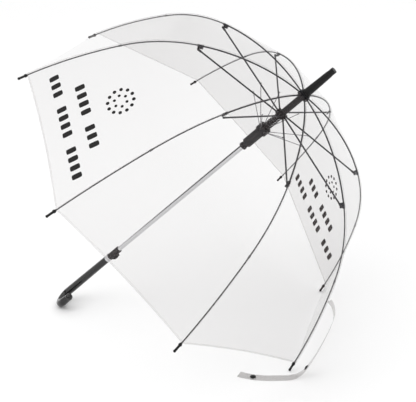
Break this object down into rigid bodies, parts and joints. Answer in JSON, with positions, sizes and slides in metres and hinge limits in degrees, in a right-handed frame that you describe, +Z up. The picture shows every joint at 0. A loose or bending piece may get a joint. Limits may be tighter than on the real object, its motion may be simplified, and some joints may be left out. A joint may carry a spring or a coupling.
{
  "type": "dome umbrella",
  "caption": "Clear dome umbrella with curved ribs, stretchers, braces and twin runners on a shaft, a straight ferrule, rib tips, a closing strap and a crook handle with a release button.",
  "frame": {"origin": "on the floor, below the middle of the open umbrella's bounding box", "axes": "+Z up from the floor; the umbrella lies open on two rib tips and its crook, the shaft in the XZ plane rising from the handle at -X to the crown at +X at 41.5 degrees; Y across it"},
  "size_m": [0.681, 0.7796, 0.6498],
  "materials": {
    "steel_tube": "bright plated tube",
    "steel_wire": "drawn wire",
    "spring_steel": "blackened spring wire",
    "dark_rib": "dark plated channel with a soft sheen",
    "brace_wire": "plain thin wire",
    "grey_plastic": "matte moulded dark grey",
    "black_plastic": "satin moulded black",
    "black_gloss": "glossy moulded black",
    "clear_film": "clear flexible film with welded seams",
    "clear_strap": "doubled clear film"
  },
  "bodies": {
    "frame": {"shaft": "steel_tube", "ferrule": "black_plastic", "crown_washer": "grey_plastic", "crown_notch": "grey_plastic", "notch_wire": "steel_wire", "canopy": "clear_film", "release_collar": "grey_plastic", "handle_ring": "steel_tube", "handle": "black_gloss", "closing_strap": "clear_strap", "strap_studs": "black_plastic", "button_spring": "steel_wire"},
    "upper_runner": {"upper_runner": "grey_plastic", "stretcher_pins": "steel_wire"},
    "runner": {"runner": "grey_plastic", "runner_wire": "steel_wire", "opening_spring": "spring_steel"},
    "button": {"release_button": "black_plastic"},
    "rib_1": {"rib_1": "dark_rib"},
    "rib_rod_1": {"rib_rod_1": "dark_rib", "rib_tip_1": "black_plastic"},
    "stretcher_1": {"stretcher_1": "dark_rib"},
    "brace_1": {"brace_1": "brace_wire"},
    "rib_2": {"rib_2": "dark_rib"},
    "rib_rod_2": {"rib_rod_2": "dark_rib", "rib_tip_2": "black_plastic"},
    "stretcher_2": {"stretcher_2": "dark_rib"},
    "brace_2": {"brace_2": "brace_wire"},
    "rib_3": {"rib_3": "dark_rib"},
    "rib_rod_3": {"rib_rod_3": "dark_rib", "rib_tip_3": "black_plastic"},
    "stretcher_3": {"stretcher_3": "dark_rib"},
    "brace_3": {"brace_3": "brace_wire"},
    "rib_4": {"rib_4": "dark_rib"},
    "rib_rod_4": {"rib_rod_4": "dark_rib", "rib_tip_4": "black_plastic"},
    "stretcher_4": {"stretcher_4": "dark_rib"},
    "brace_4": {"brace_4": "brace_wire"},
    "rib_5": {"rib_5": "dark_rib"},
    "rib_rod_5": {"rib_rod_5": "dark_rib", "rib_tip_5": "black_plastic"},
    "stretcher_5": {"stretcher_5": "dark_rib"},
    "brace_5": {"brace_5": "brace_wire"},
    "rib_6": {"rib_6": "dark_rib"},
    "rib_rod_6": {"rib_rod_6": "dark_rib", "rib_tip_6": "black_plastic"},
    "stretcher_6": {"stretcher_6": "dark_rib"},
    "brace_6": {"brace_6": "brace_wire"},
    "rib_7": {"rib_7": "dark_rib"},
    "rib_rod_7": {"rib_rod_7": "dark_rib", "rib_tip_7": "black_plastic"},
    "stretcher_7": {"stretcher_7": "dark_rib"},
    "brace_7": {"brace_7": "brace_wire"},
    "rib_8": {"rib_8": "dark_rib"},
    "rib_rod_8": {"rib_rod_8": "dark_rib", "rib_tip_8": "black_plastic"},
    "stretcher_8": {"stretcher_8": "dark_rib"},
    "brace_8": {"brace_8": "brace_wire"}
  },
  "joints": [
    {"name": "runner_slide", "type": "slide", "parent": "frame", "child": "runner", "axis": [-0.749, 0, -0.6626], "range_m": [0, 0.32707], "stiffness_N_per_m": 20, "springref_m": -0.4, "deforming": ["opening_spring"]},
    {"name": "upper_runner_slide", "type": "slide", "parent": "frame", "child": "upper_runner", "axis": [-0.749, 0, -0.6626], "range_m": [0, 0.36176]},
    {"name": "release_button_press", "type": "slide", "parent": "frame", "child": "button", "axis": [-0.5428, 0.5736, 0.6135], "range_m": [0, 0.0022], "stiffness_N_per_m": 900, "springref_m": -0.001, "deforming": ["button_spring"]},
    {"name": "rib_hinge_1", "type": "hinge", "parent": "frame", "child": "rib_1", "pos_m": [0.24656, 0.00344, 0.51403], "axis": [-0.2536, 0.9239, 0.2866], "range_deg": [0, 70.3]},
    {"name": "rib_flex_1", "type": "hinge", "parent": "rib_1", "child": "rib_rod_1", "pos_m": [0.33297, 0.08381, 0.33144], "axis": [-0.2536, 0.9239, 0.2866], "range_deg": [-35.3, 0]},
    {"name": "stretcher_hinge_1", "type": "hinge", "parent": "upper_runner", "child": "stretcher_1", "pos_m": [0.2011, 0.00691, 0.47486], "axis": [-0.2536, 0.9239, 0.2866], "range_deg": [-87.5, 0]},
    {"name": "brace_hinge_1", "type": "hinge", "parent": "runner", "child": "brace_1", "pos_m": [0.1672, 0.0044, 0.44074], "axis": [-0.2536, 0.9239, 0.2866], "range_deg": [-52.44, 0]},
    {"name": "rib_hinge_2", "type": "hinge", "parent": "frame", "child": "rib_2", "pos_m": [0.24333, 0.00831, 0.51768], "axis": [-0.6122, 0.3827, 0.6919], "range_deg": [0, 70.3]},
    {"name": "rib_flex_2", "type": "hinge", "parent": "rib_2", "child": "rib_rod_2", "pos_m": [0.25444, 0.20233, 0.4202], "axis": [-0.6122, 0.3827, 0.6919], "range_deg": [-35.3, 0]},
    {"name": "stretcher_hinge_2", "type": "hinge", "parent": "upper_runner", "child": "stretcher_2", "pos_m": [0.1964, 0.01021, 0.48017], "axis": [-0.6122, 0.3827, 0.6919], "range_deg": [-87.5, 0]},
    {"name": "brace_hinge_2", "type": "hinge", "parent": "runner", "child": "brace_2", "pos_m": [0.16308, 0.01062, 0.4454], "axis": [-0.6122, 0.3827, 0.6919], "range_deg": [-52.44, 0]},
    {"name": "rib_hinge_3", "type": "hinge", "parent": "frame", "child": "rib_3", "pos_m": [0.23877, 0.00831, 0.52284], "axis": [-0.6122, -0.3827, 0.6919], "range_deg": [0, 70.3]},
    {"name": "rib_flex_3", "type": "hinge", "parent": "rib_3", "child": "rib_rod_3", "pos_m": [0.14337, 0.20233, 0.54574], "axis": [-0.6122, -0.3827, 0.6919], "range_deg": [-35.3, 0]},
    {"name": "stretcher_hinge_3", "type": "hinge", "parent": "upper_runner", "child": "stretcher_3", "pos_m": [0.19154, 0.00753, 0.48567], "axis": [-0.6122, -0.3827, 0.6919], "range_deg": [-87.5, 0]},
    {"name": "brace_hinge_3", "type": "hinge", "parent": "runner", "child": "brace_3", "pos_m": [0.15725, 0.01062, 0.45199], "axis": [-0.6122, -0.3827, 0.6919], "range_deg": [-52.44, 0]},
    {"name": "rib_hinge_4", "type": "hinge", "parent": "frame", "child": "rib_4", "pos_m": [0.23554, 0.00344, 0.52648], "axis": [-0.2536, -0.9239, 0.2866], "range_deg": [0, 70.3]},
    {"name": "rib_flex_4", "type": "hinge", "parent": "rib_4", "child": "rib_rod_4", "pos_m": [0.06484, 0.08381, 0.63451], "axis": [-0.2536, -0.9239, 0.2866], "range_deg": [-35.3, 0]},
    {"name": "stretcher_hinge_4", "type": "hinge", "parent": "upper_runner", "child": "stretcher_4", "pos_m": [0.18935, 0.00044, 0.48814], "axis": [-0.2536, -0.9239, 0.2866], "range_deg": [-87.5, 0]},
    {"name": "brace_hinge_4", "type": "hinge", "parent": "runner", "child": "brace_4", "pos_m": [0.15312, 0.0044, 0.45665], "axis": [-0.2536, -0.9239, 0.2866], "range_deg": [-52.44, 0]},
    {"name": "rib_hinge_5", "type": "hinge", "parent": "frame", "child": "rib_5", "pos_m": [0.23554, -0.00344, 0.52648], "axis": [0.2536, -0.9239, -0.2866], "range_deg": [0, 70.3]},
    {"name": "rib_flex_5", "type": "hinge", "parent": "rib_5", "child": "rib_rod_5", "pos_m": [0.06484, -0.08381, 0.63451], "axis": [0.2536, -0.9239, -0.2866], "range_deg": [-35.3, 0]},
    {"name": "stretcher_hinge_5", "type": "hinge", "parent": "upper_runner", "child": "stretcher_5", "pos_m": [0.19112, -0.00691, 0.48614], "axis": [0.2536, -0.9239, -0.2866], "range_deg": [-87.5, 0]},
    {"name": "brace_hinge_5", "type": "hinge", "parent": "runner", "child": "brace_5", "pos_m": [0.15312, -0.0044, 0.45665], "axis": [0.2536, -0.9239, -0.2866], "range_deg": [-52.44, 0]},
    {"name": "rib_hinge_6", "type": "hinge", "parent": "frame", "child": "rib_6", "pos_m": [0.23877, -0.00831, 0.52284], "axis": [0.6122, -0.3827, -0.6919], "range_deg": [0, 70.3]},
    {"name": "rib_flex_6", "type": "hinge", "parent": "rib_6", "child": "rib_rod_6", "pos_m": [0.14337, -0.20233, 0.54574], "axis": [0.6122, -0.3827, -0.6919], "range_deg": [-35.3, 0]},
    {"name": "stretcher_hinge_6", "type": "hinge", "parent": "upper_runner", "child": "stretcher_6", "pos_m": [0.19582, -0.01021, 0.48083], "axis": [0.6122, -0.3827, -0.6919], "range_deg": [-87.5, 0]},
    {"name": "brace_hinge_6", "type": "hinge", "parent": "runner", "child": "brace_6", "pos_m": [0.15725, -0.01062, 0.45199], "axis": [0.6122, -0.3827, -0.6919], "range_deg": [-52.44, 0]},
    {"name": "rib_hinge_7", "type": "hinge", "parent": "frame", "child": "rib_7", "pos_m": [0.24333, -0.00831, 0.51768], "axis": [0.6122, 0.3827, -0.6919], "range_deg": [0, 70.3]},
    {"name": "rib_flex_7", "type": "hinge", "parent": "rib_7", "child": "rib_rod_7", "pos_m": [0.25444, -0.20233, 0.4202], "axis": [0.6122, 0.3827, -0.6919], "range_deg": [-35.3, 0]},
    {"name": "stretcher_hinge_7", "type": "hinge", "parent": "upper_runner", "child": "stretcher_7", "pos_m": [0.20069, -0.00753, 0.47533], "axis": [0.6122, 0.3827, -0.6919], "range_deg": [-87.5, 0]},
    {"name": "brace_hinge_7", "type": "hinge", "parent": "runner", "child": "brace_7", "pos_m": [0.16308, -0.01062, 0.4454], "axis": [0.6122, 0.3827, -0.6919], "range_deg": [-52.44, 0]},
    {"name": "rib_hinge_8", "type": "hinge", "parent": "frame", "child": "rib_8", "pos_m": [0.24656, -0.00344, 0.51403], "axis": [0.2536, 0.9239, -0.2866], "range_deg": [0, 70.3]},
    {"name": "rib_flex_8", "type": "hinge", "parent": "rib_8", "child": "rib_rod_8", "pos_m": [0.33297, -0.08381, 0.33144], "axis": [0.2536, 0.9239, -0.2866], "range_deg": [-35.3, 0]},
    {"name": "stretcher_hinge_8", "type": "hinge", "parent": "upper_runner", "child": "stretcher_8", "pos_m": [0.20288, -0.00044, 0.47285], "axis": [0.2536, 0.9239, -0.2866], "range_deg": [-87.5, 0]},
    {"name": "brace_hinge_8", "type": "hinge", "parent": "runner", "child": "brace_8", "pos_m": [0.1672, -0.0044, 0.44074], "axis": [0.2536, 0.9239, -0.2866], "range_deg": [-52.44, 0]}
  ],
  "couplings": [
    {"joint": "upper_runner_slide", "follows": "runner_slide", "ratio": 1.1046},
    {"joint": "rib_hinge_1", "follows": "runner_slide", "rad_per_m": 3.7354},
    {"joint": "rib_flex_1", "follows": "runner_slide", "rad_per_m": -1.8677},
    {"joint": "stretcher_hinge_1", "follows": "runner_slide", "rad_per_m": -4.6535},
    {"joint": "brace_hinge_1", "follows": "runner_slide", "rad_per_m": -2.7822},
    {"joint": "rib_hinge_2", "follows": "runner_slide", "rad_per_m": 3.7354},
    {"joint": "rib_flex_2", "follows": "runner_slide", "rad_per_m": -1.8677},
    {"joint": "stretcher_hinge_2", "follows": "runner_slide", "rad_per_m": -4.6535},
    {"joint": "brace_hinge_2", "follows": "runner_slide", "rad_per_m": -2.7822},
    {"joint": "rib_hinge_3", "follows": "runner_slide", "rad_per_m": 3.7354},
    {"joint": "rib_flex_3", "follows": "runner_slide", "rad_per_m": -1.8677},
    {"joint": "stretcher_hinge_3", "follows": "runner_slide", "rad_per_m": -4.6535},
    {"joint": "brace_hinge_3", "follows": "runner_slide", "rad_per_m": -2.7822},
    {"joint": "rib_hinge_4", "follows": "runner_slide", "rad_per_m": 3.7354},
    {"joint": "rib_flex_4", "follows": "runner_slide", "rad_per_m": -1.8677},
    {"joint": "stretcher_hinge_4", "follows": "runner_slide", "rad_per_m": -4.6535},
    {"joint": "brace_hinge_4", "follows": "runner_slide", "rad_per_m": -2.7822},
    {"joint": "rib_hinge_5", "follows": "runner_slide", "rad_per_m": 3.7354},
    {"joint": "rib_flex_5", "follows": "runner_slide", "rad_per_m": -1.8677},
    {"joint": "stretcher_hinge_5", "follows": "runner_slide", "rad_per_m": -4.6535},
    {"joint": "brace_hinge_5", "follows": "runner_slide", "rad_per_m": -2.7822},
    {"joint": "rib_hinge_6", "follows": "runner_slide", "rad_per_m": 3.7354},
    {"joint": "rib_flex_6", "follows": "runner_slide", "rad_per_m": -1.8677},
    {"joint": "stretcher_hinge_6", "follows": "runner_slide", "rad_per_m": -4.6535},
    {"joint": "brace_hinge_6", "follows": "runner_slide", "rad_per_m": -2.7822},
    {"joint": "rib_hinge_7", "follows": "runner_slide", "rad_per_m": 3.7354},
    {"joint": "rib_flex_7", "follows": "runner_slide", "rad_per_m": -1.8677},
    {"joint": "stretcher_hinge_7", "follows": "runner_slide", "rad_per_m": -4.6535},
    {"joint": "brace_hinge_7", "follows": "runner_slide", "rad_per_m": -2.7822},
    {"joint": "rib_hinge_8", "follows": "runner_slide", "rad_per_m": 3.7354},
    {"joint": "rib_flex_8", "follows": "runner_slide", "rad_per_m": -1.8677},
    {"joint": "stretcher_hinge_8", "follows": "runner_slide", "rad_per_m": -4.6535},
    {"joint": "brace_hinge_8", "follows": "runner_slide", "rad_per_m": -2.7822}
  ]
}
